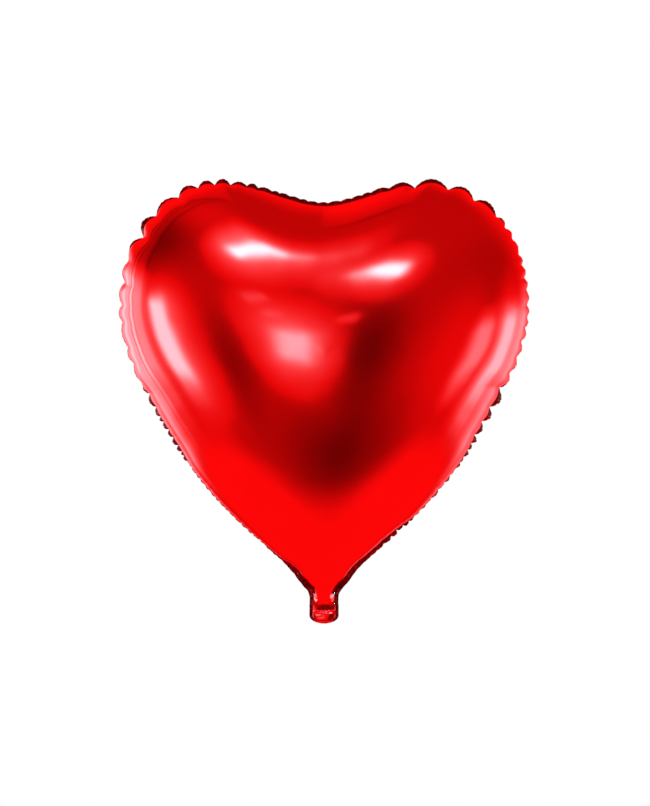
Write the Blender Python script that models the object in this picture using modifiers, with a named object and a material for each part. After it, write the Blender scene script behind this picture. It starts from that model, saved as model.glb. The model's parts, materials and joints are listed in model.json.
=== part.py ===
"""Heart-shaped foil balloon, inflated: two foil panels heat-sealed round their edge, a folding tail and a
self-sealing valve inside the neck.

X runs across the heart, Y from front to back and Z up, and the front faces -Y. The origin is the lowest point of
the tail, on the plane of the seal. Metres throughout. The film is far thinner than it is drawn here.
"""

import math

import bmesh
import bpy
import numpy as np

# The heart's outer edge, right half: each anchor is (x, z) with the reach of its two tangent handles.
NOTCH_Z, NOTCH_REACH = 0.3900, 0.029
LOBE_X, LOBE_Z = 0.0960, 0.4110
LOBE_REACH_IN, LOBE_REACH_OUT = 0.037, 0.057
WIDEST_X, WIDEST_Z = 0.1900, 0.2925
WIDEST_REACH_UP, WIDEST_REACH_DOWN = 0.064, 0.059
SIDE_X, SIDE_Z = 0.0955, 0.1100
SIDE_LEAN = math.radians(43.5)
SIDE_REACH_UP, SIDE_REACH_DOWN = 0.050, 0.070
NECK_X, NECK_Z, NECK_REACH = 0.0148, 0.0170, 0.031

HALF_DEPTH = 0.0890
SEAL_WIDTH = 0.0060
FILM = 0.0006
VALVE_FILM = 0.0003
SEAL_THICKNESS = 0.0009
GAP = 0.0003

# The tail hangs below the neck and creases at two lines across it.
ROOT_CREASE_Z = 0.0330
END_CREASE_Z = 0.0125
ABOVE_CREASE = 0.0020
BELOW_CREASE = 0.0006
TAIL_HALF_WIDTH = 0.0135
TAIL_SEAL_WIDTH = 0.0035
INLET_RADIUS = 0.0040
INLET_Z = 0.0240

# The valve is a flat sleeve of two clear plies, standing in the neck.
VALVE_BASE_Z = 0.0440
VALVE_LENGTH = 0.1150
VALVE_HALF_WIDTH = 0.0090
VALVE_CORNER = 0.0040

# Near the neck the heart flattens: its depth fades between these heights.
FADE_FROM_Z, FADE_TO_Z = 0.0200, 0.0850

SEAL_HALF = SEAL_THICKNESS / 2
PANEL_INNER_Y = SEAL_HALF + GAP
PANEL_OUTER_Y = PANEL_INNER_Y + FILM
NECK_CUT_Z = ROOT_CREASE_Z + ABOVE_CREASE
PANEL_CENTRE_Z = 0.2400

RIM_STEPS = 72
RINGS = 12
BEZIER_STEPS = 40
SOURCE_OFFSET = 0.0120
SAMPLE_SPACING = 0.0040

FOIL_RED = (0.78, 0.004, 0.016, 1.0)
SEAL_RED = (0.42, 0.004, 0.012, 1.0)
CLEAR_FILM = (0.86, 0.88, 0.90, 1.0)


# ---------------------------------------------------------------- outline


def cubic(start, start_handle, end_handle, end):
    """Points along one cubic curve, leaving out its last."""
    t = np.linspace(0.0, 1.0, BEZIER_STEPS, endpoint=False)[:, None]
    s = 1.0 - t
    return s**3 * start + 3 * s * s * t * start_handle + 3 * s * t * t * end_handle + t**3 * end


def right_half():
    """The outer edge from the neck, up the right side and over the lobe, to the notch, as (x, z) rows."""
    neck = np.array([NECK_X, NECK_Z])
    side = np.array([SIDE_X, SIDE_Z])
    widest = np.array([WIDEST_X, WIDEST_Z])
    lobe = np.array([LOBE_X, LOBE_Z])
    notch = np.array([0.0, NOTCH_Z])
    up = np.array([0.0, 1.0])
    across = np.array([1.0, 0.0])
    lean = np.array([math.sin(SIDE_LEAN), math.cos(SIDE_LEAN)])
    return np.concatenate([
        cubic(neck, neck + up * NECK_REACH, side - lean * SIDE_REACH_DOWN, side),
        cubic(side, side + lean * SIDE_REACH_UP, widest - up * WIDEST_REACH_DOWN, widest),
        cubic(widest, widest + up * WIDEST_REACH_UP, lobe + across * LOBE_REACH_OUT, lobe),
        cubic(lobe, lobe - across * LOBE_REACH_IN, notch + across * NOTCH_REACH, notch),
        notch[None],
    ])


def whole_edge():
    """The outer edge from the neck's right side round to its left side."""
    right = right_half()
    left = right[-2::-1] * np.array([-1.0, 1.0])
    return np.concatenate([right, left])


def normals(path):
    """Unit normals that point out of the heart, for a path that runs up its right side first."""
    along = np.gradient(path, axis=0)
    along /= np.linalg.norm(along, axis=1)[:, None]
    return np.stack([along[:, 1], -along[:, 0]], axis=1)


def spaced(path, count):
    """The path resampled to this many points at even steps of its length."""
    steps = np.linalg.norm(np.diff(path, axis=0), axis=1)
    length = np.concatenate([[0.0], np.cumsum(steps)])
    at = np.linspace(0.0, length[-1], count)
    return np.stack([np.interp(at, length, path[:, k]) for k in (0, 1)], axis=1)


def above_neck(path):
    """The stretch of a path above the neck's cut, with its two ends exactly on the cut."""
    inside = np.nonzero(path[:, 1] > NECK_CUT_Z)[0]
    first, last = inside[0], inside[-1]

    def crossing(low, high):
        share = (NECK_CUT_Z - path[low, 1]) / (path[high, 1] - path[low, 1])
        return path[low] + share * (path[high] - path[low])

    return np.concatenate([
        crossing(first - 1, first)[None],
        path[first:last + 1],
        crossing(last + 1, last)[None],
    ])


# ---------------------------------------------------------------- how far the film bulges


class Bulge:
    """Depth of the inflated panel. A stretched film's lift solves Laplace(lift) = -1 with no lift at the seal, and
    an inflated panel stands as deep as the square root of that lift, so it meets the seal square on. The solution
    is a paraboloid plus the potential of sources placed just outside the seal line."""

    def __init__(self, seal_line):
        bottom = seal_line[0]
        turn = np.linspace(0.0, -math.pi, 9)[1:-1]
        round_end = bottom[0] * np.stack([np.cos(turn), np.sin(turn)], axis=1) + np.array([0.0, bottom[1]])
        closed = np.concatenate([seal_line, round_end[::-1], seal_line[:1]])
        length = np.linalg.norm(np.diff(closed, axis=0), axis=1).sum()
        edge = spaced(closed, int(length / SAMPLE_SPACING))
        self.sources = (edge + normals(edge) * SOURCE_OFFSET)[:-1:2]
        paraboloid = (edge**2).sum(axis=1) / 4
        self.strengths = np.linalg.lstsq(self.potentials(edge), paraboloid, rcond=1e-9)[0]
        probe = np.stack([np.repeat(np.linspace(0, 0.08, 17), 41), np.tile(np.linspace(0.18, 0.34, 41), 17)], axis=1)
        self.highest = self.lift(probe).max()

    def potentials(self, points):
        gaps = points[:, None, :] - self.sources[None, :, :]
        return np.log(np.linalg.norm(gaps, axis=2))

    def lift(self, points):
        return self.potentials(points) @ self.strengths - (points**2).sum(axis=1) / 4

    def depth(self, points):
        share = np.clip((points[:, 1] - FADE_FROM_Z) / (FADE_TO_Z - FADE_FROM_Z), 0.0, 1.0)
        fade = share * share * (3 - 2 * share)
        return HALF_DEPTH * np.sqrt(np.clip(self.lift(points) / self.highest, 0.0, None)) * fade


# ---------------------------------------------------------------- helpers


def material(name, colour, roughness, metallic, alpha=1.0):
    made = bpy.data.materials.new(name)
    made.use_nodes = True
    shader = made.node_tree.nodes["Principled BSDF"]
    shader.inputs["Base Color"].default_value = colour
    shader.inputs["Roughness"].default_value = roughness
    shader.inputs["Metallic"].default_value = metallic
    shader.inputs["Alpha"].default_value = alpha
    return made


def place(obj, parent, finish, turned=False):
    """Links a piece, on its parent empty. A turned piece faces the back instead of the front."""
    collection.objects.link(obj)
    obj.parent = parent
    obj.data.materials.clear()
    obj.data.materials.append(finish)
    if turned:
        obj.rotation_euler.z = math.pi
    return obj


def pivot(name, y, z, parent=None):
    """An empty on a hinge line that runs along X."""
    empty = bpy.data.objects.new(name, None)
    collection.objects.link(empty)
    empty.parent = parent
    base = parent.location if parent else (0.0, 0.0, 0.0)
    empty.location = (0.0, y - base[1], z - base[2])
    return empty


def flat_sheet(name, loops, thickness, y):
    """A flat piece parallel to the XZ plane: the first loop is its edge and the others are holes."""
    curve = bpy.data.curves.new(name, "CURVE")
    curve.dimensions = "2D"
    curve.fill_mode = "BOTH"
    curve.extrude = thickness / 2
    for loop in loops:
        spline = curve.splines.new("POLY")
        spline.points.add(len(loop) - 1)
        for point, (x, z) in zip(spline.points, loop):
            point.co = (x, z, 0.0, 1.0)
        spline.use_cyclic_u = True
    obj = bpy.data.objects.new(name, curve)
    obj.rotation_euler.x = math.pi / 2
    obj.location.y = y
    return obj


def arc(centre, radius, start, end, steps):
    turn = np.radians(np.linspace(start, end, steps))
    return [(centre[0] + radius[0] * math.cos(a), centre[1] + radius[1] * math.sin(a)) for a in turn]


# ---------------------------------------------------------------- the envelope


def panel_mesh():
    """The front panel's outer face: a bulged heart with a flat margin round it, open at the neck."""
    edge = whole_edge()
    seal_line = edge - normals(edge) * SEAL_WIDTH
    bulge = Bulge(seal_line)
    neck_bottom = np.array([[0.0, NECK_CUT_Z]])
    rim = np.concatenate([neck_bottom, spaced(above_neck(seal_line), RIM_STEPS - 1)])
    margin = np.concatenate([neck_bottom, spaced(above_neck(edge), RIM_STEPS - 1)])

    bm = bmesh.new()
    bmesh.ops.create_uvsphere(bm, u_segments=RIM_STEPS, v_segments=2 * RINGS, radius=1.0)
    lower = [v for v in bm.verts if v.co.z < -1e-6]
    bmesh.ops.delete(bm, geom=lower, context="VERTS")
    centre = np.array([0.0, PANEL_CENTRE_Z])
    step_of = {}
    plan = []
    for v in bm.verts:
        turn = math.atan2(v.co.x, -v.co.y) % (2 * math.pi)
        step = round(turn / (2 * math.pi) * RIM_STEPS) % RIM_STEPS
        share = math.hypot(v.co.x, v.co.y)
        plan.append(centre + share * (rim[step] - centre))
        if share > 1 - 1e-4:
            step_of[v] = step
    for v, (x, z), depth in zip(bm.verts, plan, bulge.depth(np.array(plan))):
        at_seal = v in step_of and step_of[v] != 0
        v.co = (x, -PANEL_OUTER_Y - (0.0 if at_seal else depth), z)

    # The margin grows from every rim edge but the two across the neck.
    rim_edges = [e for e in bm.edges if e.is_boundary and not any(step_of.get(v) == 0 for v in e.verts)]
    place_of = {v.co.to_tuple(7): step for v, step in step_of.items()}
    grown = bmesh.ops.extrude_edge_only(bm, edges=rim_edges)["geom"]
    for v in (g for g in grown if isinstance(g, bmesh.types.BMVert)):
        x, z = margin[place_of[v.co.to_tuple(7)]]
        v.co = (x, -PANEL_OUTER_Y, z)
    bmesh.ops.recalc_face_normals(bm, faces=bm.faces)
    if sum(f.normal.y * f.calc_area() for f in bm.faces) > 0:
        bmesh.ops.reverse_faces(bm, faces=bm.faces)

    mesh = bpy.data.meshes.new("foil_panel")
    bm.to_mesh(mesh)
    bm.free()
    mesh.shade_smooth()
    mesh.set_sharp_from_angle(angle=math.radians(50))
    return mesh


def add_panel(name, mesh, turned):
    panel = place(bpy.data.objects.new(name, mesh), None, foil, turned)
    shell = panel.modifiers.new("film", "SOLIDIFY")
    shell.thickness = FILM
    shell.offset = -1.0
    shell.use_even_offset = True


def add_envelope():
    mesh = panel_mesh()
    add_panel("front_panel", mesh, turned=False)
    add_panel("back_panel", mesh, turned=True)
    edge = whole_edge()
    outer = spaced(above_neck(edge), RIM_STEPS - 1)
    inner = spaced(above_neck(edge - normals(edge) * SEAL_WIDTH), RIM_STEPS - 1)
    band = np.concatenate([outer, inner[::-1]])
    place(flat_sheet("perimeter_heat_seal", [band], SEAL_THICKNESS, 0.0), None, seal)


# ---------------------------------------------------------------- the tail


def add_tail():
    """Two plies joined by a fused band down each side. The back ply has the hole that the filling straw enters."""
    ply_y = PANEL_INNER_Y + FILM / 2
    low, high = END_CREASE_Z + ABOVE_CREASE, ROOT_CREASE_Z - BELOW_CREASE
    root = pivot("tail_root_crease", 0.0, ROOT_CREASE_Z)

    def rectangle(left, right, bottom, top):
        return [(left, bottom), (right, bottom), (right, top), (left, top)]

    def hang(loops, thickness, name, y, finish, turned=False):
        """Hangs a flat piece on the root crease, with its outline measured from that crease."""
        local = [[(x, z - ROOT_CREASE_Z) for x, z in loop] for loop in loops]
        place(flat_sheet(name, local, thickness, y), root, finish, turned)

    ply = rectangle(-TAIL_HALF_WIDTH, TAIL_HALF_WIDTH, low, high)
    inlet = arc((0.0, INLET_Z), (INLET_RADIUS, INLET_RADIUS), 0, 345, 24)
    hang([ply], FILM, "tail_front_ply", -ply_y, foil)
    hang([ply, inlet], FILM, "tail_back_ply", ply_y, foil)
    inner = TAIL_HALF_WIDTH - TAIL_SEAL_WIDTH
    hang([rectangle(-TAIL_HALF_WIDTH, -inner, low, high)], SEAL_THICKNESS, "tail_left_seal", 0.0, seal)
    hang([rectangle(inner, TAIL_HALF_WIDTH, low, high)], SEAL_THICKNESS, "tail_right_seal", 0.0, seal)

    end = pivot("tail_end_crease", 0.0, END_CREASE_Z, root)
    top = -BELOW_CREASE
    tab = [(TAIL_HALF_WIDTH, top), (-TAIL_HALF_WIDTH, top)]
    shoulder = -END_CREASE_Z * 0.4
    tab += arc((0.0, shoulder), (TAIL_HALF_WIDTH, END_CREASE_Z + shoulder), 180, 360, 17)
    for name, thickness, y, finish in (
        ("tail_end_front_ply", FILM, -ply_y, foil),
        ("tail_end_seal", SEAL_THICKNESS, 0.0, seal),
        ("tail_end_back_ply", FILM, ply_y, foil),
    ):
        place(flat_sheet(name, [tab], thickness, y), end, finish)


# ---------------------------------------------------------------- the valve


def add_valve():
    """Two clear plies that lie together when shut. Each hinges at its lower edge, where it is fixed in the neck."""
    half, corner = VALVE_HALF_WIDTH, VALVE_CORNER
    outline = [(-half, 0.0), (half, 0.0)]
    outline += arc((half - corner, VALVE_LENGTH - corner), (corner, corner), 0, 90, 6)
    outline += arc((corner - half, VALVE_LENGTH - corner), (corner, corner), 90, 180, 6)
    ply_y = (GAP + VALVE_FILM) / 2
    for name, y in (("valve_front_ply", -ply_y), ("valve_back_ply", ply_y)):
        hinge = pivot(name + "_hinge", y, VALVE_BASE_Z)
        place(flat_sheet(name, [outline], VALVE_FILM, 0.0), hinge, clear_film)


for old in list(bpy.data.objects):
    bpy.data.objects.remove(old)
collection = bpy.data.collections.new("heart_foil_balloon")
bpy.context.scene.collection.children.link(collection)
foil = material("red_foil", FOIL_RED, roughness=0.12, metallic=1.0)
seal = material("fused_seal", SEAL_RED, roughness=0.28, metallic=0.9)
clear_film = material("clear_film", CLEAR_FILM, roughness=0.15, metallic=0.0, alpha=0.35)

add_envelope()
add_tail()
add_valve()
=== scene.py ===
"""The looks of the heart-shaped foil balloon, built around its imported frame.

The front faces -Y and +Z is up. Everything is in metres and degrees. The film's outline is read from the
frame's heat seal and tail. The panels are blown out from it as a stretched film would be, and the puckers,
the crimped margin and the tail's folds are added on top.
"""

import json
import math

import bpy
import numpy as np
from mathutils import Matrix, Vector, noise
from mathutils.bvhtree import BVHTree


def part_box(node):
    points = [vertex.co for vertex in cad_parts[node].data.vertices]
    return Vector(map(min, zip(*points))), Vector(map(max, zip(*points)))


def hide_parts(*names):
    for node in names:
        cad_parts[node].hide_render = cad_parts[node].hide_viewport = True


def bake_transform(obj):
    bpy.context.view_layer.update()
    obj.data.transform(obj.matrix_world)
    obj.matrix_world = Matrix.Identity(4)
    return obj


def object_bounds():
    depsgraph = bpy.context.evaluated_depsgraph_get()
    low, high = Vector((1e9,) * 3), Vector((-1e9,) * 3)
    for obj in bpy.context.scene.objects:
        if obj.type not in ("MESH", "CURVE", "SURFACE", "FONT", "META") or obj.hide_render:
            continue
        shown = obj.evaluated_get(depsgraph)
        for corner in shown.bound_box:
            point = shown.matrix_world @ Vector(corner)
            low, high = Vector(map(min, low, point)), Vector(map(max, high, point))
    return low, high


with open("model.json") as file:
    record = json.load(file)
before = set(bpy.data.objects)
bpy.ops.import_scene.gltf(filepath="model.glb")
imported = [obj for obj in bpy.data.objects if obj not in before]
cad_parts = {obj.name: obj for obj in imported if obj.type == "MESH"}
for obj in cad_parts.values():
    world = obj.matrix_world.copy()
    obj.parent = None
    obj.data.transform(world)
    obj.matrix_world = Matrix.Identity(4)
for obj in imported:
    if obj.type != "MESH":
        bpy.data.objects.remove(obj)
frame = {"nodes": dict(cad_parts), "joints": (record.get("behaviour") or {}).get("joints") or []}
cad_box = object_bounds()

# ---------------------------------------------------------------- places read from the frame

crease_heights = {joint["name"]: joint["pos_m"][2] for joint in frame["joints"]}
root_crease = crease_heights["tail_fold"]
end_crease = crease_heights["tail_end_fold"]
tail_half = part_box("tail_front_ply")[1].x
panel_reach = -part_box("front_panel")[0].y
valve_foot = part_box("valve_front_ply")[0].z

# ---------------------------------------------------------------- sizes

# How the film is divided. Angles run from the rim (0) to the middle of a panel (90) as on a quarter ellipse.
# Each zone is (from, to, rings, seam points taken by one face). Below the neck's top there are level rows.
SEAM_SEGMENTS = 1280
ZONES = (
    (0.0, 20.0, 18, 1),
    (20.0, 42.0, 12, 2),
    (42.0, 62.0, 10, 4),
    (62.0, 78.0, 8, 8),
    (78.0, 87.5, 5, 16),
)
COARSEST = ZONES[-1][3]
NECK_TOP = 0.0700
LEAST_NECK_COLUMNS = 48
MIDDLE = 0.2400
FILM_THICKNESS = 0.00012

# The outline: how near the heat seal's edge a corner must be, how finely its spline is followed, the tail's
# side below its root as (past the tail's half width, below the root crease), and how many seam points the
# margin's shown width is smoothed over.
EDGE_SNAP = 0.001
FINE_STEPS = 20
TAIL_FLARE = ((0.0012, 0.0035), (0.0, 0.0080))
MARGIN_SOFTENING = 25

# The bulge: how far outside the seam its sources lie and how far apart, where its highest lift is looked for
# as (from, to, steps), and how far it stays inside the CAD panel.
SOURCE_OFFSET, SOURCE_SPACING = 0.0120, 0.0080
FIT_CUTOFF = 1e-9
PEAK_X, PEAK_Z = (0.0, 0.08, 17), (0.18, 0.34, 41)
PANEL_CLEARANCE = 0.0012

# The tail opens from its flat crease as 1 - exp(-(height / RISE)^RISE_POWER), and its sides are leaner than
# the body's.
RISE, RISE_POWER = 0.0128, 1.4
LEAN, LEAN_FROM, LEAN_TO = 0.9, 0.0460, 0.0220
NECK_SAMPLES = 385
# The step that slopes are measured over, the least length that is divided by, and the depth below which a
# point of the film takes the seam's own normal.
SLOPE_STEP = 0.0001
LEAST_LENGTH = 1e-6
RIM_DEPTH = 2e-5

# Puckers: the film's seam is too long for its shortened path, so it gathers into scallops with a crease
# between. Steps between creases and their depth as a share of the step, by bearing: wide scallops on the
# lobes, fine ones along the straight sides, and none in the notch.
GATHER_STEP = (
    (-180, 0.010), (-165, 0.008), (-122, 0.006), (-108, 0.007), (-98, 0.012), (-90, 0.018), (-72, 0.020),
    (-60, 0.025), (-44, 0.029), (-34, 0.017), (-24, 0.012), (-16, 0.010), (16, 0.010), (24, 0.018),
    (31, 0.027), (46, 0.027), (53, 0.015), (70, 0.0125), (90, 0.015), (103, 0.017), (116, 0.013),
    (124, 0.007), (165, 0.008), (180, 0.010),
)
GATHER_DEPTH = (
    (-180, 0.02), (-165, 0.05), (-150, 0.11), (-112, 0.13), (-96, 0.20), (-60, 0.20), (-24, 0.17),
    (-14, 0.03), (14, 0.03), (24, 0.17), (46, 0.19), (60, 0.25), (96, 0.23), (116, 0.18), (126, 0.12),
    (150, 0.10), (165, 0.04), (180, 0.02),
)
TOOTH_STEP = ((-180, 0.0042), (180, 0.0042))
TOOTH_DEPTH = (
    (-180, 0.0), (-170, 0.01), (-163, 0.12), (-100, 0.12), (-90, 0.05), (-24, 0.04), (-14, 0.02), (14, 0.02),
    (24, 0.03), (60, 0.08), (110, 0.12), (158, 0.12), (165, 0.02), (180, 0.0),
)
STEP_SPREAD, DEPTH_SPREAD, REACH_SPREAD = (0.75, 1.30), (0.7, 1.25), (0.75, 1.3)
LEAST_REACH, REACH_SHARE = 0.0060, 0.50
CREASE_SOFTNESS, CREASE_OPENING = 0.03, 0.2200
GATHER_SEED, TOOTH_SEED = 7, 8

# Unevenness of the panels: depth, size, and the slice of the noise it's read from, which differs by side. It
# fades out towards the rim.
DENTS = (0.00030, 0.075, 3.1)
WRINKLES = (0.00006, 0.016, 6.3)
SIDE_SLICE = 5
CALM_RIM = 0.030

# Folds where the panels narrow into the tail: a groove down the middle and soft upright ripples.
FOLDS_FULL_BELOW = 0.020
GROOVE_DEPTH, GROOVE_WIDTH = 0.0005, 0.0035
RIPPLE_DEPTH, RIPPLE_ACROSS, RIPPLE_ALONG, RIPPLE_SLICE = 0.0003, 0.0080, 0.0600, 8.0

# The fused margin: how wide it is down the tail (by height) and how it lies (by bearing), where 0 stands out
# in the seam's plane and 90 lies back against the rear film.
MARGIN_WIDTH = ((0.018, 0.0036), (0.025, 0.0038), (0.035, 0.0044), (0.052, 0.0056), (0.075, 0.0060))
MARGIN_FOLD = (
    (-180, 0), (-177, 3), (-175, 18), (-172, 35), (-168, 76), (-158, 84), (-128, 84), (-122, 64),
    (-100, 60), (-96, 88), (-60, 88), (-56, 60), (-27, 56), (-22, 50), (22, 50), (27, 56), (48, 62),
    (54, 88), (95, 88), (99, 50), (116, 56), (120, 72), (126, 82), (150, 84), (154, 62), (160, 50),
    (168, 50), (172, 35), (175, 18), (177, 3), (180, 0),
)
MARGIN_SCALLOP = (
    (-180, 0.0), (-168, 0.0), (-160, 0.7), (-30, 0.95), (-20, 0.25), (20, 0.25), (30, 0.95),
    (120, 0.95), (135, 0.75), (158, 0.6), (163, 0.1), (170, 0.0), (180, 0.0),
)
TOOTH_SHARE = 0.10
LAID_BACK, SWAY = 84, 12.0
MARGIN_ROWS = 9
MARGIN_THICKNESS = 0.00025
CRIMP_DEPTH = 0.0004
# Crimping along the margin: size along it, changes across it, strength, and slice of the noise.
CRIMPS = ((0.0030, 2.0, 1.0, 1.7), (0.0012, 4.0, 0.5, 9.2))

# The inlet hole in the back film, and how near its edge a film point must be to move onto it.
INLET_Z, INLET_RADIUS, INLET_SNAP = 0.0240, 0.0040, 0.0006

# The tail's end, from its join with the tail down to its rounded bottom. It laps inside the tail's film at
# the join, where it's tucked in to this share of the tail's depth.
JOIN_Z, JOIN_LAP, END_TUCK = 0.0175, 0.0006, 0.93
END_MARGIN, END_ROUNDING = 0.0030, 0.0075
LEAST_SQUARED_WIDTH = 0.02
END_COLUMNS, END_ROWS, END_BOTTOM = 41, 49, 0.0004
# The plies' least gap from the middle, how far they puff out below the crease, and over what heights the puff
# and the margin fade in from the crease and from the bottom.
END_GAP, END_PUFF = 0.00015, 0.0014
END_PUFF_FADE, END_BOTTOM_FADE, END_CLOSING = 0.0045, 0.0035, 0.004
# Rucks, strongest near the crease: depth, reach from the crease, share kept far from it, and two patterns as
# (size across, size along, strength, slice of the noise).
RUCK_DEPTH, RUCK_REACH, RUCK_KEPT = 0.00016, 0.0030, 0.2
UPRIGHT_RUCKS = (0.0021, 0.0060, 1.0, 4.0)
LEVEL_RUCKS = (0.0030, 0.0022, 0.5, 14.0)
END_EDGE_SAMPLES, END_EDGE_STEPS, END_MARGIN_ROWS = 60, 260, 6
END_CRIMP_SIZE, END_CRIMP_SLICE = 0.0016, 2.0

# ---------------------------------------------------------------- looks

FOIL_RED = (0.98, 0.0021, 0.0024, 1.0)
# The margin's red is darker than the film's as painted shade, for crimped facets that face dark parts of the
# room.
MARGIN_RED_PAINTED_SHADE = (0.60, 0.0008, 0.0009, 1.0)
INNER_SILVER = (0.78, 0.78, 0.80, 1.0)
GRAIN_SCALE, GRAIN_DEPTH = 900.0, 0.0002
GLOSS_SCALE, GLOSS_LEAST, GLOSS_MOST = 14.0, 0.8, 1.2
VALVE_CLEAR, VALVE_COAT = (0.86, 0.88, 0.90, 1.0), (0.55, 0.62, 0.70, 1.0)
CLEAR_ALPHA, COAT_ALPHA = 0.30, 0.75
COAT_HEIGHT, COAT_EDGE = 0.025, 0.0004
VALVE_GLOSS_SCALE, VALVE_SMOOTHEST, VALVE_ROUGHEST = 60.0, 0.12, 0.25
# Most of a noise texture's values lie between these.
NOISE_LOW, NOISE_HIGH = 0.3, 0.7
PATCH_BLUR = 0.3

# The studio, as (bearing, height) in degrees. The white sweep ends lower in front, where the camera stands.
SWEEP, ROOM = 1.05, 0.53
SWEEP_EDGE_FRONT, SWEEP_EDGE_SIDE = -45.0, -31.0
FRONT_BEARING, SIDE_BEARING = 10.0, 65.0
SWEEP_SOFTNESS = 7.0
# Above this level of light red climbs only slowly.
SHOULDER, SHOULDER_SLOPE, SHOULDER_BLEND = 0.84, 0.070, 0.15
# Dimmer and brighter parts of the room: middle, half size, factor.
PATCHES = (
    ((14.0, 2.0), (9.0, 18.0), 0.26),
    ((8.0, -31.0), (24.0, 14.0), 0.30),
    ((-31.0, -6.0), (7.0, 14.0), 0.48),
    ((-72.0, 37.0), (24.0, 13.0), 0.38),
    ((84.0, 24.0), (34.0, 12.0), 0.80),
    ((-45.0, 66.0), (40.0, 12.0), 1.35),
    ((-152.0, 36.0), (40.0, 34.0), 2.2),
    ((150.0, 24.0), (40.0, 26.0), 2.1),
    ((88.0, 6.0), (12.0, 8.0), 1.6),
    ((-58.0, 6.0), (14.0, 16.0), 1.5),
    ((48.0, -8.0), (12.0, 18.0), 1.6),
)
# Softboxes and windows, some in two layers for a core and its haze: middle, half size, lean, fade, strength.
LAMP_POWER = 1.2
SOFTBOXES = (
    ((-13.4, 47.8), (7.2, 0.6), 37.0, (3.2, 2.5), 430.0),
    ((-14.5, 47.8), (5.5, 2.5), 40.0, (8.0, 7.0), 34.0),
    ((13.0, 36.2), (3.3, 0.6), -27.0, (3.0, 2.5), 430.0),
    ((12.0, 37.0), (2.0, 1.0), -27.0, (7.0, 6.0), 19.0),
    ((-8.3, 4.2), (2.4, 2.8), 0.0, (2.8, 2.8), 130.0),
    ((-9.0, 4.0), (2.0, 3.0), 0.0, (6.0, 6.5), 26.0),
    ((-12.0, 13.5), (1.0, 1.0), 0.0, (7.5, 7.0), 6.0),
    ((-17.4, 21.6), (2.2, 0.3), 30.0, (1.2, 1.2), 16.0),
    ((-13.6, 15.8), (1.5, 0.2), 0.0, (1.0, 1.0), 12.0),
    ((6.0, 15.8), (1.5, 0.2), 0.0, (1.0, 1.0), 8.0),
    ((-64.5, -6.0), (3.5, 11.0), 9.0, (4.0, 3.4), 210.0),
    ((-63.0, -6.0), (4.0, 9.0), 9.0, (9.0, 7.0), 24.0),
    ((-96.0, -6.0), (9.0, 13.0), 0.0, (6.0, 6.0), 85.0),
    ((-118.0, -6.0), (13.0, 16.0), 0.0, (6.0, 5.0), 125.0),
    ((-143.0, -3.0), (13.0, 9.0), 0.0, (8.0, 6.0), 110.0),
    ((64.5, -11.0), (2.5, 5.0), 0.0, (4.5, 4.5), 62.0),
    ((93.5, -14.0), (4.5, 9.0), 0.0, (5.0, 4.0), 110.0),
    ((108.0, -13.0), (20.0, 9.0), 0.0, (9.0, 5.0), 72.0),
    ((142.0, -9.0), (16.0, 8.0), 0.0, (10.0, 6.0), 40.0),
)
# Dark upright bars of the window on the left, as (bearing, width, share of the light they take), and where
# they end.
BARS = ((-108.0, 1.5, 0.95), (-99.0, 1.2, 0.85), (-82.0, 3.0, 0.45))
BARS_FOOT, BARS_FOOT_FADE = -33.0, 4.0

FLOOR_Z, FLOOR_SIDE = -0.45, 60.0
# The floor's painted shadow: how far its occlusion looks, the occlusion at which it is darkest, and its
# darkest glow.
FLOOR_SHADE_REACH, PAINTED_SHADOW_SHUT_IN, PAINTED_SHADOW_DIMMEST = 0.8, 0.3, 0.70
CAMERA_DISTANCE, FRAME_HEIGHT = 3.0, 0.7452
CAMERA_SIDE, CAMERA_RISE = 0.0009, -0.0016


def keyed(keys, at):
    """Straight-line values between (place, value) keys."""
    places, values = zip(*keys)
    return np.interp(at, places, values)


def smoothstep(low, high, value):
    """Smooth change from 0 at low to 1 at high. High may be the lower number."""
    share = np.clip((value - low) / (high - low), 0.0, 1.0)
    return share * share * (3 - 2 * share)


def noise_at(*place):
    return noise.noise(Vector(place))


# ---------------------------------------------------------------- the outline, from the frame


def outer_seal_points():
    """The corners of the heat seal's outer edge, from the neck's right side round to its left, as (x, z)."""
    mesh = frame["nodes"]["perimeter_heat_seal"].data
    tree = BVHTree.FromPolygons([v.co for v in mesh.vertices], [p.vertices for p in mesh.polygons])
    corners = {(round(v.co.x, 6), round(v.co.z, 6)) for v in mesh.vertices}
    centre = Vector((0.0, 0.0, MIDDLE))
    found = []
    for x, z in corners:
        turn = math.atan2(x, MIDDLE - z)
        far = Vector((math.sin(turn), 0.0, -math.cos(turn)))
        hit = tree.ray_cast(centre + far, -far)[0]
        if hit is not None and (hit - Vector((x, 0.0, z))).length < EDGE_SNAP:
            found.append((turn % (2 * math.pi), x, z))
    return np.array([(x, z) for _, x, z in sorted(found)])


def natural_spline(points, count):
    """A smooth curve through the points, resampled to even steps of its length."""
    gaps = np.linalg.norm(np.diff(points, axis=0), axis=1)
    at = np.concatenate([[0.0], np.cumsum(gaps)])
    size = len(points)
    rows = np.zeros((size, size))
    right = np.zeros((size, 2))
    rows[0, 0] = rows[-1, -1] = 1.0
    for i in range(1, size - 1):
        rows[i, i - 1:i + 2] = gaps[i - 1], 2 * (gaps[i - 1] + gaps[i]), gaps[i]
        slopes = (points[i + 1] - points[i]) / gaps[i] - (points[i] - points[i - 1]) / gaps[i - 1]
        right[i] = 6 * slopes
    bend = np.linalg.solve(rows, right)
    fine = np.linspace(0.0, at[-1], FINE_STEPS * size)
    i = np.clip(np.searchsorted(at, fine) - 1, 0, size - 2)
    h = gaps[i][:, None]
    low = (at[i + 1] - fine)[:, None] / h
    high = 1 - low
    curve = low * points[i] + high * points[i + 1]
    curve += ((low**3 - low) * bend[i] + (high**3 - high) * bend[i + 1]) * h * h / 6
    return even_steps(curve, count)


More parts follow.
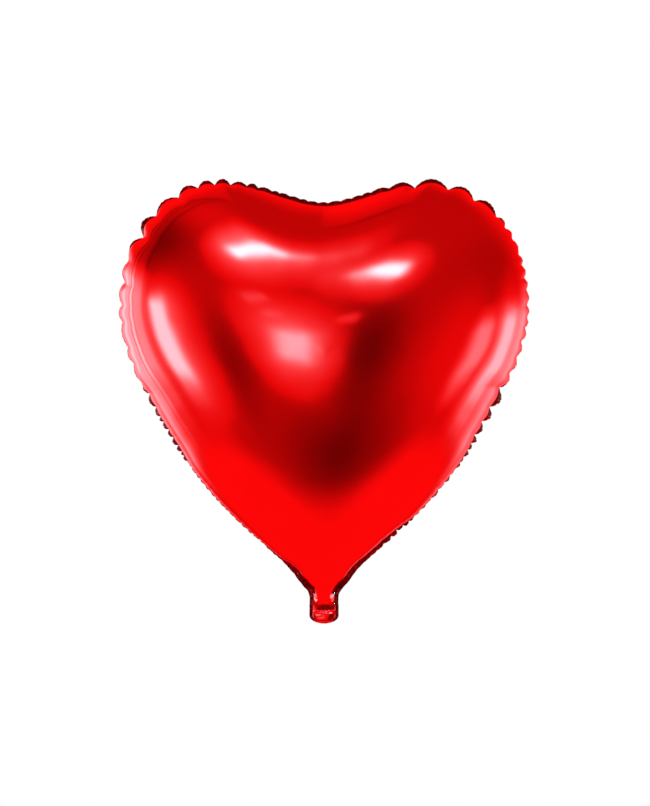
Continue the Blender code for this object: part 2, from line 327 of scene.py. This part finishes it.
def even_steps(path, count):
    gaps = np.linalg.norm(np.diff(path, axis=0), axis=1)
    at = np.concatenate([[0.0], np.cumsum(gaps)])
    fine = np.linspace(0.0, at[-1], count)
    return np.stack([np.interp(fine, at, path[:, k]) for k in (0, 1)], axis=1)


def outward(path):
    """Unit normals that point out of the heart, in its plane."""
    along = np.gradient(path, axis=0)
    along /= np.linalg.norm(along, axis=1)[:, None]
    return np.stack([along[:, 1], -along[:, 0]], axis=1)


def bearing(points):
    """Clockwise angle round the heart's middle seen from the front: 0 is the notch, 180 the tail."""
    return np.degrees(np.arctan2(points[:, 0], points[:, 1] - MIDDLE))


def film_outline():
    """The object's edge as (x, z): up the tail's right side, round the heart and down its left side."""
    right_side = [(tail_half, JOIN_Z)]
    for wider, below in reversed(TAIL_FLARE):
        right_side.append((tail_half + wider, root_crease - below))
    right_side = np.array(right_side)
    corners = np.concatenate([right_side, outer_seal_points(), right_side[::-1] * (-1, 1)])
    return natural_spline(corners, SEAM_SEGMENTS + 1)


def seam_inside(outline):
    """The line where the two films meet: inside the outline by the width of margin that shows in front."""
    fold = np.radians(keyed(MARGIN_FOLD, bearing(outline)))
    shown = keyed(MARGIN_WIDTH, outline[:, 1]) * np.cos(fold)
    soften = np.hanning(MARGIN_SOFTENING)
    padded = np.pad(shown, MARGIN_SOFTENING // 2, mode="edge")
    shown = np.convolve(padded, soften / soften.sum(), mode="valid")
    return even_steps(outline - outward(outline) * shown[:, None], SEAM_SEGMENTS + 1)


seam = seam_inside(film_outline())
seam_normals = outward(seam)
neck_rows = int((seam[:SEAM_SEGMENTS // 2, 1] < NECK_TOP).sum())
# The upper film's rings halve their points down to the coarsest, so the columns are rounded up to fit.
neck_columns = LEAST_NECK_COLUMNS + -(SEAM_SEGMENTS - 2 * neck_rows + LEAST_NECK_COLUMNS) % COARSEST


# ---------------------------------------------------------------- puckers


class Puckers:
    """Creases at uneven steps along the rim. Each has its own depth, and its own reach in from the seam."""

    def __init__(self, path, step_keys, depth_keys, seed):
        draw = np.random.default_rng(seed)
        spacing = np.linalg.norm(path[1] - path[0])
        turns = bearing(path)
        place = 0.0
        places = [0.0]
        while True:
            here = turns[min(int(place / spacing), len(path) - 1)]
            place += keyed(step_keys, here) * draw.uniform(*STEP_SPREAD)
            if place > spacing * (len(path) - 2):
                break
            places.append(round(place / spacing) * spacing)
        places.append(spacing * (len(path) - 1))
        creases = np.unique(places)
        steps = np.diff(creases)
        share = keyed(depth_keys, turns[(creases / spacing).round().astype(int)])
        beside = np.minimum(np.append(steps, steps[-1]), np.insert(steps, 0, steps[0]))
        self.depth = share * beside * draw.uniform(*DEPTH_SPREAD, len(creases))
        self.reach = (LEAST_REACH + REACH_SHARE * beside) * draw.uniform(*REACH_SPREAD, len(creases))
        self.along = np.arange(len(path)) * spacing
        gap = np.clip(np.searchsorted(creases, self.along, side="right") - 1, 0, len(steps) - 1)
        before = self.along - creases[gap]
        half = steps[gap] / 2
        self.nearest = np.where(before > half, gap + 1, gap)
        self.away = np.minimum(before, 2 * half - before) / half
        self.lean = draw.uniform(-1.0, 1.0, len(steps))[gap]

    def inset(self, index, inward):
        """How far the film at these seam points is drawn in, at these distances in from the seam."""
        nearest = self.nearest[index]
        soft = CREASE_SOFTNESS + inward / CREASE_OPENING
        away = np.sqrt(self.away[index] ** 2 + soft**2) - soft
        away = away / (np.sqrt(1 + soft**2) - soft)
        return self.depth[nearest] * (1 - away) ** 2 * np.exp(-((inward / self.reach[nearest]) ** 2))

    def cap(self):
        """1 in the middle of a scallop and 0 at a crease."""
        return 1 - (1 - self.away) ** 2


gathers = Puckers(seam, GATHER_STEP, GATHER_DEPTH, GATHER_SEED)
teeth = Puckers(seam, TOOTH_STEP, TOOTH_DEPTH, TOOTH_SEED)


# ---------------------------------------------------------------- the bulge


class Bulge:
    """Depth of the inflated panel inside a closed seam. A stretched film's lift solves Laplace(lift) = -1,
    with no lift at the seam, and an inflated panel stands as deep as a power of that lift. The solution is a
    paraboloid plus the potential of sources placed just outside the seam."""

    def __init__(self, seam, deepest):
        closed = np.concatenate([seam, seam[-1:] * (1, 0), seam[:1] * (1, 0), seam[:1]])
        length = np.linalg.norm(np.diff(closed, axis=0), axis=1).sum()
        edge = even_steps(closed, 2 * int(length / SOURCE_SPACING))
        self.sources = (edge + outward(edge) * SOURCE_OFFSET)[:-1:2]
        wanted = (edge**2).sum(axis=1) / 4
        self.strengths = np.linalg.lstsq(self.potentials(edge), wanted, rcond=FIT_CUTOFF)[0]
        x, z = np.meshgrid(np.linspace(*PEAK_X), np.linspace(*PEAK_Z), indexing="ij")
        self.highest = self.lift(np.stack([x.ravel(), z.ravel()], axis=1)).max()
        self.deepest = deepest
        self.heights = np.linspace(0.0, LEAN_FROM, NECK_SAMPLES)
        self.middles = self.lift(np.stack([0 * self.heights, self.heights], axis=1)) / self.highest

    def potentials(self, points):
        return np.log(np.linalg.norm(points[:, None, :] - self.sources[None, :, :], axis=2))

    def lift(self, points):
        return self.potentials(points) @ self.strengths - (points**2).sum(axis=1) / 4

    def depth(self, points):
        """Depth in front of the seam's plane. Above the tail it's in proportion to the lift's square root."""
        tail = points[:, 1] < LEAN_FROM
        middle = np.where(tail, np.interp(points[:, 1], self.heights, self.middles), 1.0)
        share = np.clip(self.lift(points) / self.highest / middle, 0.0, None)
        lean = LEAN * (1 - smoothstep(LEAN_TO, LEAN_FROM, points[:, 1]))
        opened = 1 - np.exp(-((np.maximum(points[:, 1] - end_crease, 0.0) / RISE) ** RISE_POWER))
        return self.deepest * opened * np.sqrt(middle) * share ** (0.5 + lean)

    def surface(self, points):
        """Depth in front of the seam's plane, and the front face's unit normals."""
        depth = self.depth(points)
        slopes = []
        for step in ([SLOPE_STEP, 0.0], [0.0, SLOPE_STEP]):
            change = self.depth(points + step) ** 2 - self.depth(points - step) ** 2
            slopes.append(change / (4 * SLOPE_STEP))
        normal = np.stack([slopes[0], np.maximum(depth, LEAST_LENGTH), slopes[1]], axis=1)
        return depth, -normal / np.linalg.norm(normal, axis=1)[:, None]


bulge = Bulge(seam, panel_reach - PANEL_CLEARANCE)


# ---------------------------------------------------------------- meshes


def new_piece(name, points, faces, material, thickness, inside=None):
    """A smooth closed shell of this thickness. Its inner side may have its own material."""
    mesh = bpy.data.meshes.new(name)
    mesh.from_pydata([tuple(p) for p in points], [], faces)
    mesh.update()
    mesh.shade_smooth()
    mesh.materials.append(material)
    obj = bpy.data.objects.new(name, mesh)
    bpy.context.scene.collection.objects.link(obj)
    shell = obj.modifiers.new("film", "SOLIDIFY")
    shell.thickness = thickness
    shell.offset = -1.0
    if inside:
        mesh.materials.append(inside)
        shell.material_offset = 1
    return obj


def grid_faces(rows, columns, flip=False):
    faces = []
    for r in range(rows - 1):
        for c in range(columns - 1):
            a = r * columns + c
            quad = (a, a + 1, a + columns + 1, a + columns)
            faces.append(quad[::-1] if flip else quad)
    return faces


def ring_plan():
    """(share of the way from the middle to the rim, seam points per face) for each ring, from the rim in."""
    rings = []
    for start, end, count, step in ZONES:
        for angle in np.linspace(start, end, count, endpoint=False):
            rings.append((math.cos(math.radians(angle)), step))
    return rings


def ring_faces(outer, inner):
    """Faces between two rings of vertex numbers. The inner one has as many, or half as many."""
    faces = []
    if len(outer) == len(inner):
        for j in range(len(outer)):
            k = (j + 1) % len(outer)
            faces.append((outer[j], outer[k], inner[k], inner[j]))
        return faces
    for j in range(len(inner)):
        k = (j + 1) % len(inner)
        a, b, c = outer[2 * j], outer[2 * j + 1], outer[(2 * j + 2) % len(outer)]
        faces += [(a, b, inner[j]), (b, inner[k], inner[j]), (b, c, inner[k])]
    return faces


def without_faces(points, faces):
    """The points that these faces still use, and the faces renumbered to match."""
    used = sorted({v for f in faces for v in f})
    number = {v: i for i, v in enumerate(used)}
    return points[used], [tuple(number[v] for v in f) for f in faces]


# ---------------------------------------------------------------- the two panels and the upper tail


def wobble(points, size, place):
    """Smooth noise at each (x, z) point, with features of this size."""
    return np.array([noise_at(x / size, z / size, place) for x, z in points])


def relief(plan, depth, index, side):
    """How far in the film lies from the smooth bulge, where each point belongs to one point of the seam."""
    inward = np.hypot(np.linalg.norm(plan - seam[index], axis=1), depth)
    inset = gathers.inset(index, inward) + teeth.inset(index, inward)
    calm = smoothstep(0.0, CALM_RIM, inward)
    for most, size, place in (DENTS, WRINKLES):
        inset += calm * most * wobble(plan, size, place + SIDE_SLICE * side)
    return inset + neck_folds(plan, side)


def neck_folds(plan, side):
    """Soft upright folds where the panel narrows into the tail, with one groove down the middle."""
    x, z = plan[:, 0], plan[:, 1]
    share = 1 - smoothstep(FOLDS_FULL_BELOW, NECK_TOP, z)
    groove = GROOVE_DEPTH * np.exp(-((x / GROOVE_WIDTH) ** 2))
    place = RIPPLE_SLICE + side
    ripple = RIPPLE_DEPTH * np.array([noise_at(a / RIPPLE_ACROSS, b / RIPPLE_ALONG, place) for a, b in plan])
    edge = np.interp(z, seam[:neck_rows + 1, 1], seam[:neck_rows + 1, 0])
    inner = np.clip(1 - (x / edge) ** 2, 0.0, 1.0)
    return share * (groove + ripple) * inner


def displaced(plan, index, side):
    """Film points in front of this plan, drawn in by the puckers, folds and dents."""
    depth, normal = bulge.surface(plan)
    at_rim = depth < RIM_DEPTH
    normal[at_rim] = np.stack([seam_normals[index, 0], 0 * depth, seam_normals[index, 1]], axis=1)[at_rim]
    points = np.stack([plan[:, 0], -depth, plan[:, 1]], axis=1)
    return points - normal * relief(plan, depth, index, side)[:, None]


def level_row(row, level):
    """Plan points straight across the neck, between the two seam points of this row."""
    left, right = seam[len(seam) - 1 - row], seam[row]
    return left + (right - left) * ((level[:, None] + 1) / 2)


def opened_for_gas(plan, inside):
    """Moves the plan points next to the inlet onto its edge. inside collects whether each lies in it."""
    offset = plan - np.array([0.0, INLET_Z])
    away = np.linalg.norm(offset, axis=1)[:, None]
    near = np.abs(away - INLET_RADIUS) < INLET_SNAP
    inside.extend((away[:, 0] < INLET_RADIUS + INLET_SNAP).tolist())
    return np.where(near, plan + offset * (INLET_RADIUS / np.maximum(away, LEAST_LENGTH) - 1), plan)


def panel_film(name, side, material, lining):
    """One panel's film with the upper part of its tail. side is -1 for the front and 1 for the back, which
    has the inlet. Both are built facing the front, and the back one is then mirrored."""
    last = len(seam) - 1
    body = np.arange(neck_rows, last - neck_rows + 1)
    level = -np.cos(np.pi * np.arange(neck_columns + 1) / neck_columns)
    nearer = np.where(level < 0, last, 0)
    rim = np.concatenate([seam[body], level_row(neck_rows, level)[1:-1]])
    owner = np.concatenate([body, np.abs(nearer - neck_rows)[1:-1]])
    centre = np.array([0.0, MIDDLE])
    points, faces, previous = [], [], None
    for share, step in ring_plan():
        index = np.arange(0, len(rim), step)
        plan = centre + share * (rim[index] - centre)
        numbers = list(range(len(points), len(points) + len(index)))
        points.extend(displaced(plan, owner[index], side))
        if previous is not None:
            faces += ring_faces(previous, numbers)
        previous = numbers
    points.extend(displaced(centre[None], np.array([last // 2]), side))
    hub = len(points) - 1
    faces += [(previous[j], previous[(j + 1) % len(previous)], hub) for j in range(len(previous))]

    upper = [len(body) - 1] + list(range(len(body), len(rim))) + [0]
    in_hole = [False] * len(points)
    for row in range(neck_rows - 1, -1, -1):
        lower = list(range(len(points), len(points) + len(level)))
        plan = level_row(row, level)
        if side > 0:
            plan = opened_for_gas(plan, in_hole)
        points.extend(displaced(plan, np.abs(nearer - row), side))
        for k in range(neck_columns):
            faces.append((lower[k], lower[k + 1], upper[k + 1], upper[k]))
        upper = lower
    points = np.array(points)
    if side > 0:
        points, faces = without_faces(points, [f for f in faces if not all(in_hole[v] for v in f)])
    points[:, 1] -= FILM_THICKNESS
    if side > 0:
        points[:, 1] *= -1
        faces = [f[::-1] for f in faces]
    return new_piece(name, points, faces, material, FILM_THICKNESS, lining)


# ---------------------------------------------------------------- the fused margin


def crimp_along(across):
    """Uneven crimping along the seam, at this share of the way across the margin."""
    total = np.zeros(len(seam))
    for size, changes, strength, place in CRIMPS:
        total += strength * np.array([noise_at(s / size, across * changes, place) for s in gathers.along])
    return total


def seal_margin(name, material):
    """The fused margin outside the seam. It lies back by an angle that varies round the heart."""
    turns = bearing(seam)
    deep = keyed(MARGIN_SCALLOP, turns)
    fold = keyed(MARGIN_FOLD, turns)
    fold += np.where(fold < LAID_BACK, SWAY * gathers.lean, 0.0) * deep
    width = keyed(MARGIN_WIDTH, seam[:, 1])
    width = width * (1 - deep * (1 - gathers.cap())) * (1 - TOOTH_SHARE * deep * (1 - teeth.cap()))
    everywhere = np.arange(len(seam))
    drawn_in = gathers.inset(everywhere, 0.0 * width) + teeth.inset(everywhere, 0.0 * width)
    tilt = np.radians(fold)
    rows = []
    for across in np.linspace(0.0, 1.0, MARGIN_ROWS):
        out = width * across * np.cos(tilt) - drawn_in
        back = width * across * np.sin(tilt) + CRIMP_DEPTH * crimp_along(across) * math.sqrt(across)
        flat = seam + seam_normals * out[:, None]
        rows.append(np.stack([flat[:, 0], back, flat[:, 1]], axis=1))
    faces = grid_faces(MARGIN_ROWS, len(seam))
    return new_piece(name, np.concatenate(rows), faces, material, MARGIN_THICKNESS)


# ---------------------------------------------------------------- the tail's end


def tail_half_width(z):
    """Half the tail's width: straight sides and a rounded end."""
    if z >= END_ROUNDING:
        return tail_half
    return tail_half * math.sqrt(max(1 - ((END_ROUNDING - z) / END_ROUNDING) ** 2, LEAST_SQUARED_WIDTH))


def rucks(x, z, side):
    """Small folds of the tail's end, strongest near the crease."""
    near_crease = math.exp(-(((z - end_crease) / RUCK_REACH) ** 2))
    folds = []
    for across, along, strength, place in (UPRIGHT_RUCKS, LEVEL_RUCKS):
        folds.append(strength * noise_at(x / across, z / along, place + side))
    return RUCK_DEPTH * (folds[0] * (RUCK_KEPT + (1 - RUCK_KEPT) * near_crease) + folds[1])


def tail_end_film(name, side, material, lining):
    """The tail below the join, creased flat once and then puffed again, down to its rounded end."""
    shares = -np.cos(np.linspace(0.0, np.pi, END_COLUMNS))
    top = displaced(level_row(0, shares), np.where(shares < 0, len(seam) - 1, 0), side)
    points = []
    for z in np.linspace(JOIN_Z + JOIN_LAP, END_BOTTOM, END_ROWS):
        half = tail_half_width(z) - END_MARGIN * smoothstep(0.0, END_CLOSING, z)
        rising = max((z - end_crease) / (JOIN_Z - end_crease), 0.0)
        puffed = END_PUFF * smoothstep(end_crease, end_crease - END_PUFF_FADE, z)
        puffed *= smoothstep(0.0, END_BOTTOM_FADE, z)
        for share, above in zip(shares, top):
            x = share * half
            edge = max(1 - share**2, 0.0)
            upper = -above[1] * rising * (END_TUCK if z > JOIN_Z else 1.0)
            puff = END_GAP + upper + puffed * math.sqrt(edge) + rucks(x, z, side) * edge
            points.append((x, side * (puff + FILM_THICKNESS), z))
    faces = grid_faces(END_ROWS, END_COLUMNS, flip=side < 0)
    return new_piece(name, points, faces, material, FILM_THICKNESS, lining)


def tail_end_margin(name, material):
    """The fused band down both sides of the tail's end and round its bottom."""
    heights = np.linspace(JOIN_Z + JOIN_LAP, 0.0, END_EDGE_SAMPLES)
    right = [(tail_half_width(z), z) for z in heights]
    left = [(-x, z) for x, z in right[::-1]]
    edge = even_steps(np.array(right + left), END_EDGE_STEPS)
    inwards = outward(edge)
    rows = []
    for across in np.linspace(0.0, 1.0, END_MARGIN_ROWS):
        flat = edge + inwards * END_MARGIN * across
        crimp = wobble(edge, END_CRIMP_SIZE, END_CRIMP_SLICE + across)
        rows.append(np.stack([flat[:, 0], CRIMP_DEPTH * crimp * (1 - across), flat[:, 1]], axis=1))
    faces = grid_faces(END_MARGIN_ROWS, len(edge))
    return new_piece(name, np.concatenate(rows), faces, material, MARGIN_THICKNESS)


# ---------------------------------------------------------------- materials


class Nodes:
    """Short calls that add shader nodes and wire them."""

    def __init__(self, tree):
        self.tree = tree

    def add(self, kind, **settings):
        node = self.tree.nodes.new(kind)
        for key, value in settings.items():
            setattr(node, key, value)
        return node

    def link(self, value, socket):
        if isinstance(value, bpy.types.NodeSocket):
            self.tree.links.new(value, socket)
        else:
            socket.default_value = value

    def math(self, operation, *values):
        node = self.add("ShaderNodeMath", operation=operation)
        for value, socket in zip(values, node.inputs):
            self.link(value, socket)
        return node.outputs[0]

    def ramp(self, value, low, high, start=0.0, end=1.0):
        """Smooth change from start to end as value goes from low to high."""
        node = self.add("ShaderNodeMapRange", interpolation_type="SMOOTHSTEP")
        for given, socket in zip((value, low, high, start, end), node.inputs):
            self.link(given, socket)
        return node.outputs[0]

    def noise(self, scale, detail=2.0):
        node = self.add("ShaderNodeTexNoise")
        node.inputs["Scale"].default_value = scale
        node.inputs["Detail"].default_value = detail
        self.link(self.add("ShaderNodeTexCoord").outputs["Object"], node.inputs["Vector"])
        return node.outputs["Fac"]

    def blend(self, factor, first, second):
        """The first colour where factor is 0, and the second where it's 1."""
        node = self.add("ShaderNodeMix", data_type="RGBA")
        self.link(factor, node.inputs["Factor"])
        node.inputs["A"].default_value = first
        node.inputs["B"].default_value = second
        return node.outputs["Result"]


def empty_material(name):
    material = bpy.data.materials.new(name)
    material.use_nodes = True
    material.node_tree.nodes.clear()
    return material, Nodes(material.node_tree)


def foil(name, colour, roughness, crumple, patchy_tone_and_shade=0.03, patch_size=0.11, bright_from=0.35):
    """Metallised film: a tinted mirror whose tint holds at every angle. Its gloss and depth of colour drift,
    a little as random tone, while a large patchiness is painted shade in the darker patches. A fine grain
    keeps it short of a perfect mirror."""
    material, nodes = empty_material(name)
    shader = nodes.add("ShaderNodeBsdfAnisotropic")
    drift = nodes.ramp(nodes.noise(1.0 / patch_size), bright_from, bright_from + PATCH_BLUR)
    darker = [c * (1 - patchy_tone_and_shade) for c in colour[:3]] + [1.0]
    nodes.link(nodes.blend(drift, darker, colour), shader.inputs["Color"])
    least, most = roughness * GLOSS_LEAST, roughness * GLOSS_MOST
    gloss = nodes.ramp(nodes.noise(GLOSS_SCALE), NOISE_LOW, NOISE_HIGH, least, most)
    nodes.link(gloss, shader.inputs["Roughness"])
    bump = nodes.add("ShaderNodeBump")
    bump.inputs["Strength"].default_value = crumple
    bump.inputs["Distance"].default_value = GRAIN_DEPTH
    nodes.link(nodes.noise(GRAIN_SCALE, 3.0), bump.inputs["Height"])
    nodes.link(bump.outputs["Normal"], shader.inputs["Normal"])
    output = nodes.add("ShaderNodeOutputMaterial")
    nodes.link(shader.outputs[0], output.inputs["Surface"])
    return material


def clear_film(name):
    """Valve film: clear, with a tinted release coat printed over its mouth."""
    material = bpy.data.materials.new(name)
    material.use_nodes = True
    nodes = Nodes(material.node_tree)
    shader = material.node_tree.nodes["Principled BSDF"]
    height = nodes.add("ShaderNodeSeparateXYZ")
    nodes.link(nodes.add("ShaderNodeTexCoord").outputs["Object"], height.inputs[0])
    coat_top = valve_foot + COAT_HEIGHT
    printed = nodes.ramp(height.outputs["Z"], coat_top, coat_top + COAT_EDGE, 1.0, 0.0)
    nodes.link(nodes.blend(printed, VALVE_CLEAR, VALVE_COAT), shader.inputs["Base Color"])
    nodes.link(nodes.ramp(printed, 0.0, 1.0, CLEAR_ALPHA, COAT_ALPHA), shader.inputs["Alpha"])
    uneven = nodes.noise(VALVE_GLOSS_SCALE)
    gloss = nodes.ramp(uneven, NOISE_LOW, NOISE_HIGH, VALVE_SMOOTHEST, VALVE_ROUGHEST)
    nodes.link(gloss, shader.inputs["Roughness"])
    return material


# ---------------------------------------------------------------- studio


def direction_angles(nodes):
    """Where a ray points: bearing from the camera's side (right is positive) and height above the horizon."""
    axes = nodes.add("ShaderNodeSeparateXYZ")
    nodes.link(nodes.add("ShaderNodeTexCoord").outputs["Generated"], axes.inputs[0])
    x, y, z = axes.outputs
    turn = nodes.math("DEGREES", nodes.math("ARCTAN2", x, nodes.math("MULTIPLY", y, -1.0)))
    rise = nodes.math("DEGREES", nodes.math("ARCSINE", z))
    return turn, rise


def leaning_offsets(nodes, turn, rise, place, lean):
    """Offsets along and across an axis through this place that leans up by this many degrees."""
    c, s = math.cos(math.radians(lean)), math.sin(math.radians(lean))
    right = nodes.math("SUBTRACT", turn, place[0])
    up = nodes.math("SUBTRACT", rise, place[1])
    along = nodes.math("ADD", nodes.math("MULTIPLY", right, c), nodes.math("MULTIPLY", up, s))
    across = nodes.math("SUBTRACT", nodes.math("MULTIPLY", up, c), nodes.math("MULTIPLY", right, s))
    return along, across


def patch(nodes, turn, rise, place, half_size, factor):
    """An oval part of the studio, brighter or dimmer by this factor in its middle. It fades out at twice its
    size."""
    squares = []
    for offset, half in zip(leaning_offsets(nodes, turn, rise, place, 0.0), half_size):
        squares.append(nodes.math("POWER", nodes.math("DIVIDE", offset, half), 2.0))
    return nodes.ramp(nodes.math("SQRT", nodes.math("ADD", *squares)), 0.0, 2.0, factor, 1.0)


def softbox(nodes, turn, rise, place, half_size, lean, fade, strength):
    """A bright rectangle whose light falls off as a bell curve beyond its edges."""
    beyond = []
    for offset, half, width in zip(leaning_offsets(nodes, turn, rise, place, lean), half_size, fade):
        outside = nodes.math("MAXIMUM", nodes.math("SUBTRACT", nodes.math("ABSOLUTE", offset), half), 0.0)
        beyond.append(nodes.math("POWER", nodes.math("DIVIDE", outside, width), 2.0))
    glow = nodes.math("EXPONENT", nodes.math("MULTIPLY", nodes.math("ADD", *beyond), -1.0))
    return nodes.math("MULTIPLY", glow, strength)


def past_bar(nodes, turn, rise, place, width, share):
    """The part of the light that one window bar lets past."""
    off = nodes.math("DIVIDE", nodes.math("SUBTRACT", turn, place), width)
    shade = nodes.math("EXPONENT", nodes.math("MULTIPLY", nodes.math("MULTIPLY", off, off), -1.0))
    shade = nodes.math("MULTIPLY", shade, nodes.ramp(rise, BARS_FOOT, BARS_FOOT + BARS_FOOT_FADE, 0.0, share))
    return nodes.math("SUBTRACT", 1.0, shade)


def studio_colour(nodes, turn, rise):
    """Light of the studio in each direction: a white sweep below, dim walls, a dark camera side, and lamps.
    Red rolls off in the bright lamps, as it does on film, so the foil's glare turns pink before white."""
    to_side = nodes.math("ABSOLUTE", turn)
    sweep_edge = nodes.ramp(to_side, FRONT_BEARING, SIDE_BEARING, SWEEP_EDGE_FRONT, SWEEP_EDGE_SIDE)
    above = nodes.math("SUBTRACT", rise, sweep_edge)
    room = nodes.ramp(above, -SWEEP_SOFTNESS, SWEEP_SOFTNESS, SWEEP, ROOM)
    for place, half_size, factor in PATCHES:
        room = nodes.math("MULTIPLY", room, patch(nodes, turn, rise, place, half_size, factor))
    total = room
    for place, half_size, lean, fade, strength in SOFTBOXES:
        lamp = softbox(nodes, turn, rise, place, half_size, lean, fade, LAMP_POWER * strength)
        total = nodes.math("ADD", total, lamp)
    for place, width, share in BARS:
        total = nodes.math("MULTIPLY", total, past_bar(nodes, turn, rise, place, width, share))
    climb = nodes.math("MULTIPLY", nodes.math("LOGARITHM", total, math.e), SHOULDER_SLOPE)
    most = nodes.math("MAXIMUM", room, nodes.math("ADD", SHOULDER, climb))
    red = nodes.math("SMOOTH_MIN", total, most, SHOULDER_BLEND)
    colour = nodes.add("ShaderNodeCombineColor")
    for value, socket in zip((red, total, total), colour.inputs):
        nodes.link(value, socket)
    return colour.outputs[0]


def add_world():
    """White to the camera, so that the background is plain, and the studio to everything that reflects."""
    world = bpy.data.worlds.new("studio")
    bpy.context.scene.world = world
    world.use_nodes = True
    world.node_tree.nodes.clear()
    nodes = Nodes(world.node_tree)
    turn, rise = direction_angles(nodes)
    studio = nodes.add("ShaderNodeBackground")
    nodes.link(studio_colour(nodes, turn, rise), studio.inputs["Color"])
    plain = nodes.add("ShaderNodeBackground")
    plain.inputs["Color"].default_value = (1.0, 1.0, 1.0, 1.0)
    mix = nodes.add("ShaderNodeMixShader")
    nodes.link(nodes.add("ShaderNodeLightPath").outputs["Is Camera Ray"], mix.inputs[0])
    nodes.link(studio.outputs[0], mix.inputs[1])
    nodes.link(plain.outputs[0], mix.inputs[2])
    output = nodes.add("ShaderNodeOutputWorld")
    nodes.link(mix.outputs[0], output.inputs["Surface"])


def add_floor():
    """A plain white floor, well below the floating balloon, that glows evenly. A painted shadow dims its glow
    a little under the balloon, by ambient occlusion.
    """
    bpy.ops.mesh.primitive_plane_add(size=FLOOR_SIDE, location=(0.0, 0.0, FLOOR_Z))
    floor = bpy.context.object
    floor.name = "floor"
    material, nodes = empty_material("pale_floor")
    open_sky = nodes.add("ShaderNodeAmbientOcclusion", samples=8)
    open_sky.inputs["Distance"].default_value = FLOOR_SHADE_REACH
    glow = nodes.add("ShaderNodeEmission")
    # Painted shadow: the floor's glow is dimmed where ambient occlusion finds the balloon above.
    glow_with_painted_shadow = nodes.ramp(open_sky.outputs["AO"], PAINTED_SHADOW_SHUT_IN, 1.0, PAINTED_SHADOW_DIMMEST, 1.0)
    nodes.link(glow_with_painted_shadow, glow.inputs["Strength"])
    output = nodes.add("ShaderNodeOutputMaterial")
    nodes.link(glow.outputs[0], output.inputs["Surface"])
    floor.data.materials.append(material)
    floor.visible_glossy = False


def add_camera():
    """A level camera in front of the object's middle."""
    low, high = cad_box
    centre = (low + high) / 2
    camera = bpy.data.objects.new("camera", bpy.data.cameras.new("camera"))
    bpy.context.scene.collection.objects.link(camera)
    camera.location = (CAMERA_SIDE, -CAMERA_DISTANCE, centre.z + CAMERA_RISE)
    camera.rotation_euler = (math.radians(90), 0.0, 0.0)
    camera.data.lens = camera.data.sensor_width * CAMERA_DISTANCE / FRAME_HEIGHT
    bpy.context.scene.camera = camera


# ---------------------------------------------------------------- the pieces

red_foil = foil("red_foil", FOIL_RED, 0.10, 0.02)
# Painted shade: the margin's dim tint and its small dark patches stand in for crimp facets reflecting dark
# parts of the room.
margin_foil_painted_shade = foil("crimped_foil_painted_shade", MARGIN_RED_PAINTED_SHADE, 0.20, 0.5, patchy_tone_and_shade=0.78, patch_size=0.0030, bright_from=0.48)
silver = foil("inner_silver", INNER_SILVER, 0.25, 0.05)
valve = clear_film("valve_film")

front = panel_film("front_film", -1, red_foil, silver)
back = panel_film("back_film", 1, red_foil, silver)
margin = seal_margin("seal_margin", margin_foil_painted_shade)
end_front = tail_end_film("tail_end_front_film", -1, red_foil, silver)
end_back = tail_end_film("tail_end_back_film", 1, red_foil, silver)
end_margin = tail_end_margin("tail_end_margin", margin_foil_painted_shade)
for node in ("valve_front_ply", "valve_back_ply"):
    frame["nodes"][node].data.materials.clear()
    frame["nodes"][node].data.materials.append(valve)

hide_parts("front_panel", "tail_front_ply")
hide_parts("back_panel", "tail_back_ply")
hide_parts("perimeter_heat_seal", "tail_left_seal", "tail_right_seal")
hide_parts("tail_end_front_ply")
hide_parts("tail_end_back_ply")
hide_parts("tail_end_seal")
for piece in (front, back, margin):
    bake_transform(piece)
for piece in (end_front, end_back, end_margin):
    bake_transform(piece)

add_world()
add_floor()
add_camera()
bpy.context.scene.view_settings.view_transform = "Standard"
